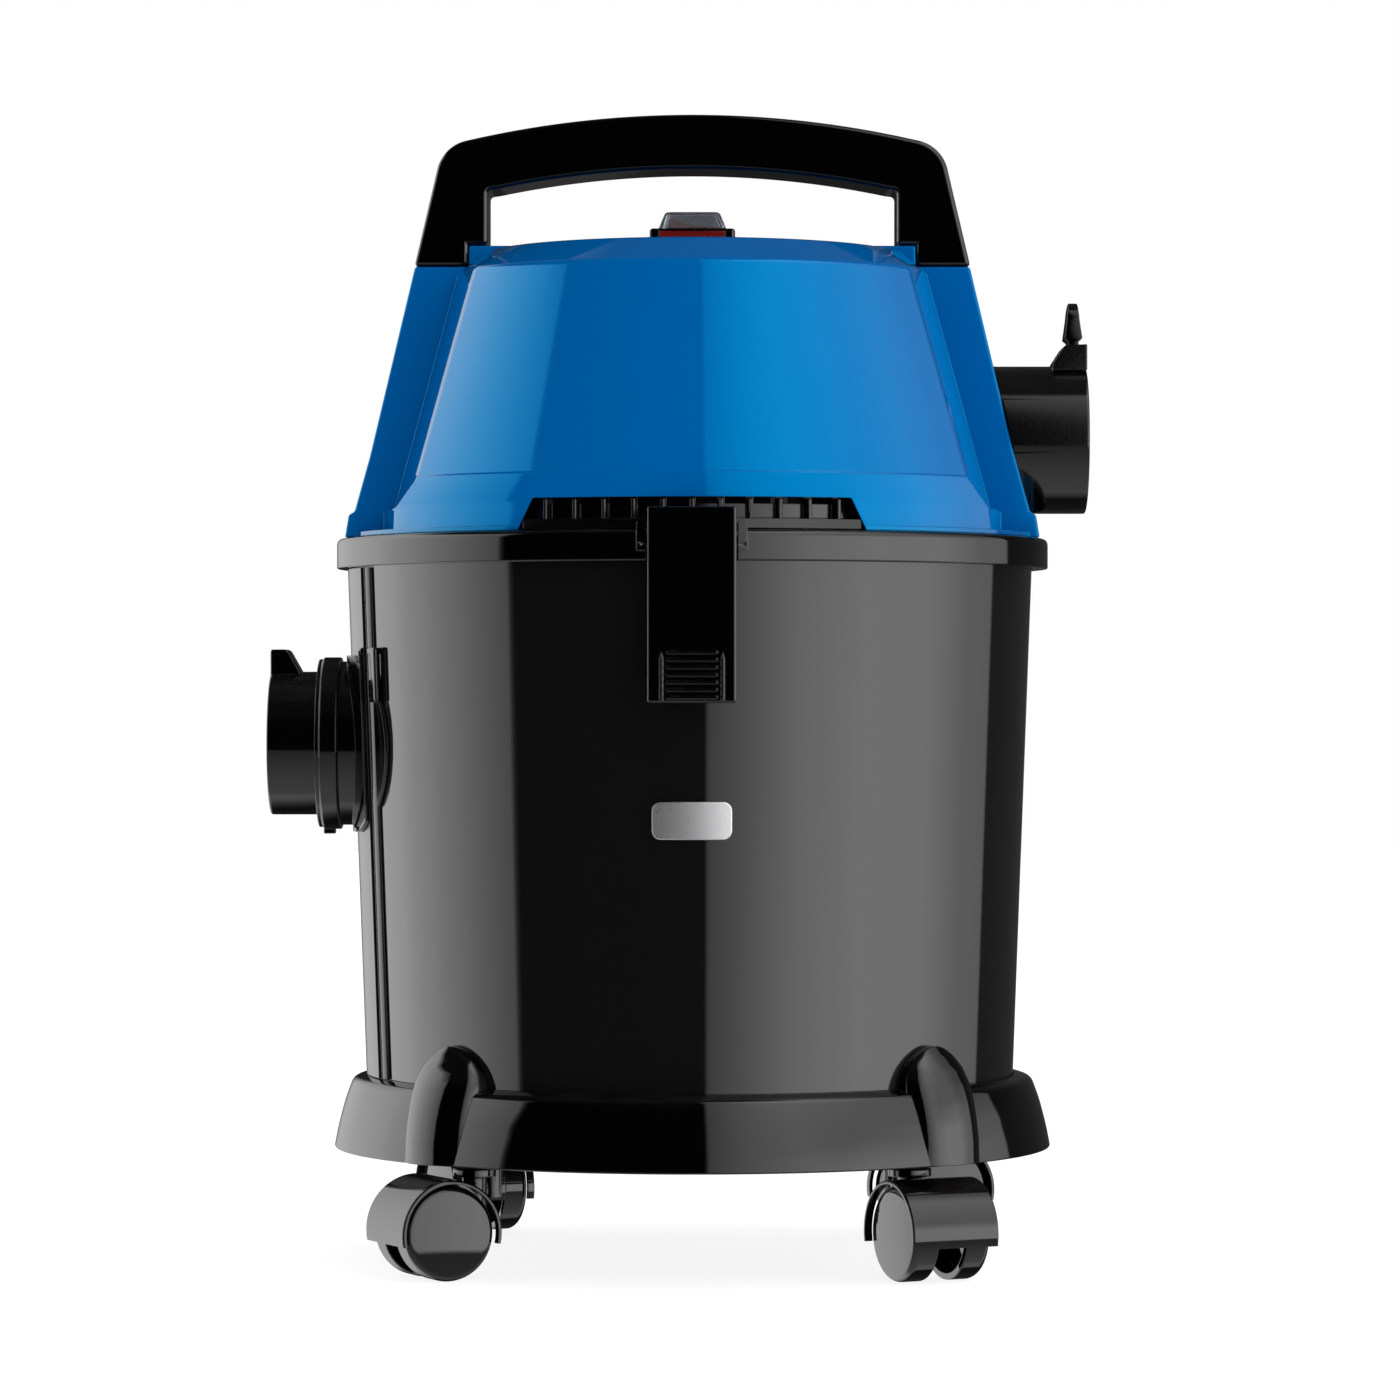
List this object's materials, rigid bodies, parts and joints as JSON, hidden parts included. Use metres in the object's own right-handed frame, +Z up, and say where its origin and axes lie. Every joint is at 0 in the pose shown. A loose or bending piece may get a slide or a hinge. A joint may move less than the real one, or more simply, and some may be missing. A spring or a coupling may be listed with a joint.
{
  "type": "shop vacuum",
  "caption": "Wet and dry drum vacuum: tapered drum on castors, lift-off motor head with carry handle, side suction inlet and blower port.",
  "frame": {"origin": "on the floor, under the middle of the whole object's box; the drum's axis is 6 mm to +X of it", "axes": "+X towards the blower port, -Y towards the front latch, +Z up"},
  "size_m": [0.3434, 0.3104, 0.4795],
  "materials": {
    "grey_gloss": "dark grey, glossy",
    "blue_gloss": "bright blue, glossy",
    "black_gloss": "black, glossy",
    "black_matte": "black, satin",
    "rubber": "black, matte",
    "red_gloss": "dark red, glossy",
    "clear_boot": "clear flexible cover",
    "steel": "bright zinc",
    "fan_aluminium": "pressed sheet",
    "silver": "silver badge",
    "filter_cloth": "felt",
    "float_plastic": "white, satin"
  },
  "bodies": {
    "tank": {"drum": "grey_gloss", "drum_rim": "grey_gloss", "side_panel": "grey_gloss", "badge": "silver", "seam_strip_front": "grey_gloss", "seam_strip_rear": "grey_gloss", "inlet_flange": "black_gloss", "inlet_gasket": "rubber", "inlet_ring": "black_gloss", "inlet_tube": "black_gloss", "inlet_deflector": "black_matte", "base_ring": "grey_gloss", "castor_stem_front_left": "steel", "castor_stem_front_right": "steel", "castor_stem_rear_right": "steel", "castor_stem_rear_left": "steel", "latch_pin_front": "steel", "latch_pin_rear": "steel"},
    "head": {"lid_shell": "blue_gloss", "lid_pan": "black_matte", "lid_seal": "rubber", "vent_grille_front": "black_matte", "vent_grille_rear": "black_matte", "handle": "black_gloss", "switch_bezel": "black_gloss", "switch_boot": "clear_boot", "blower_tube": "black_gloss", "blower_latch_pin": "steel", "motor_can": "steel", "fan_cover": "steel", "motor_mount": "rubber", "float_cage": "black_matte", "filter": "filter_cloth", "cord_gland": "black_matte"},
    "rotor": {"motor_shaft": "steel", "fan_impeller": "fan_aluminium"},
    "float": {"float_ball": "float_plastic"},
    "rocker": {"switch_rocker": "red_gloss"},
    "blower_catch": {"blower_latch": "black_gloss"},
    "front_latch": {"latch_front": "black_gloss"},
    "rear_latch": {"latch_rear": "black_gloss"},
    "castor_front_left": {"castor_hood_front_left": "black_gloss", "castor_axle_front_left": "steel"},
    "wheel_front_left_a": {"castor_wheel_front_left_a": "black_gloss"},
    "wheel_front_left_b": {"castor_wheel_front_left_b": "black_gloss"},
    "castor_front_right": {"castor_hood_front_right": "black_gloss", "castor_axle_front_right": "steel"},
    "wheel_front_right_a": {"castor_wheel_front_right_a": "black_gloss"},
    "wheel_front_right_b": {"castor_wheel_front_right_b": "black_gloss"},
    "castor_rear_right": {"castor_hood_rear_right": "black_gloss", "castor_axle_rear_right": "steel"},
    "wheel_rear_right_a": {"castor_wheel_rear_right_a": "black_gloss"},
    "wheel_rear_right_b": {"castor_wheel_rear_right_b": "black_gloss"},
    "castor_rear_left": {"castor_hood_rear_left": "black_gloss", "castor_axle_rear_left": "steel"},
    "wheel_rear_left_a": {"castor_wheel_rear_left_a": "black_gloss"},
    "wheel_rear_left_b": {"castor_wheel_rear_left_b": "black_gloss"}
  },
  "joints": [
    {"name": "head_lift", "type": "slide", "parent": "tank", "child": "head", "axis": [0, 0, 1], "range_m": [0, 0.15]},
    {"name": "motor_spin", "type": "hinge", "parent": "head", "child": "rotor", "pos_m": [0.00595, 0, 0.33], "axis": [0, 0, 1], "continuous": true},
    {"name": "float_rise", "type": "slide", "parent": "head", "child": "float", "axis": [0, 0, 1], "range_m": [0, 0.021]},
    {"name": "switch_tip", "type": "hinge", "parent": "head", "child": "rocker", "pos_m": [0.00595, 0, 0.43], "axis": [0, -1, 0], "range_deg": [0, 12]},
    {"name": "blower_catch_tip", "type": "hinge", "parent": "head", "child": "blower_catch", "pos_m": [0.16635, 0, 0.3797], "axis": [0, -1, 0], "range_deg": [0, 12], "stiffness_Nm_per_rad": 0.05, "springref_deg": -5.73},
    {"name": "front_latch_press", "type": "hinge", "parent": "tank", "child": "front_latch", "pos_m": [0.00595, -0.1468, 0.2955], "axis": [1, 0, 0], "range_deg": [0, 7], "stiffness_Nm_per_rad": 0.3, "springref_deg": -5.73},
    {"name": "rear_latch_press", "type": "hinge", "parent": "tank", "child": "rear_latch", "pos_m": [0.00595, 0.1468, 0.2955], "axis": [-1, 0, 0], "range_deg": [0, 7], "stiffness_Nm_per_rad": 0.3, "springref_deg": -5.73},
    {"name": "castor_front_left_swivel", "type": "hinge", "parent": "tank", "child": "castor_front_left", "pos_m": [-0.08244, -0.08839, 0.044], "axis": [0, 0, 1], "continuous": true},
    {"name": "wheel_front_left_a_roll", "type": "hinge", "parent": "castor_front_left", "child": "wheel_front_left_a", "pos_m": [-0.09862, -0.09628, 0.0193], "axis": [0.4384, -0.8988, 0], "continuous": true},
    {"name": "wheel_front_left_b_roll", "type": "hinge", "parent": "castor_front_left", "child": "wheel_front_left_b", "pos_m": [-0.09862, -0.09628, 0.0193], "axis": [0.4384, -0.8988, 0], "continuous": true},
    {"name": "castor_front_right_swivel", "type": "hinge", "parent": "tank", "child": "castor_front_right", "pos_m": [0.09434, -0.08839, 0.044], "axis": [0, 0, 1], "continuous": true},
    {"name": "wheel_front_right_a_roll", "type": "hinge", "parent": "castor_front_right", "child": "wheel_front_right_a", "pos_m": [0.10223, -0.10457, 0.0193], "axis": [0.8988, 0.4384, 0], "continuous": true},
    {"name": "wheel_front_right_b_roll", "type": "hinge", "parent": "castor_front_right", "child": "wheel_front_right_b", "pos_m": [0.10223, -0.10457, 0.0193], "axis": [0.8988, 0.4384, 0], "continuous": true},
    {"name": "castor_rear_right_swivel", "type": "hinge", "parent": "tank", "child": "castor_rear_right", "pos_m": [0.09434, 0.08839, 0.044], "axis": [0, 0, 1], "continuous": true},
    {"name": "wheel_rear_right_a_roll", "type": "hinge", "parent": "castor_rear_right", "child": "wheel_rear_right_a", "pos_m": [0.11052, 0.09628, 0.0193], "axis": [-0.4384, 0.8988, 0], "continuous": true},
    {"name": "wheel_rear_right_b_roll", "type": "hinge", "parent": "castor_rear_right", "child": "wheel_rear_right_b", "pos_m": [0.11052, 0.09628, 0.0193], "axis": [-0.4384, 0.8988, 0], "continuous": true},
    {"name": "castor_rear_left_swivel", "type": "hinge", "parent": "tank", "child": "castor_rear_left", "pos_m": [-0.08244, 0.08839, 0.044], "axis": [0, 0, 1], "continuous": true},
    {"name": "wheel_rear_left_a_roll", "type": "hinge", "parent": "castor_rear_left", "child": "wheel_rear_left_a", "pos_m": [-0.09033, 0.10457, 0.0193], "axis": [-0.8988, -0.4384, 0], "continuous": true},
    {"name": "wheel_rear_left_b_roll", "type": "hinge", "parent": "castor_rear_left", "child": "wheel_rear_left_b", "pos_m": [-0.09033, 0.10457, 0.0193], "axis": [-0.8988, -0.4384, 0], "continuous": true}
  ]
}
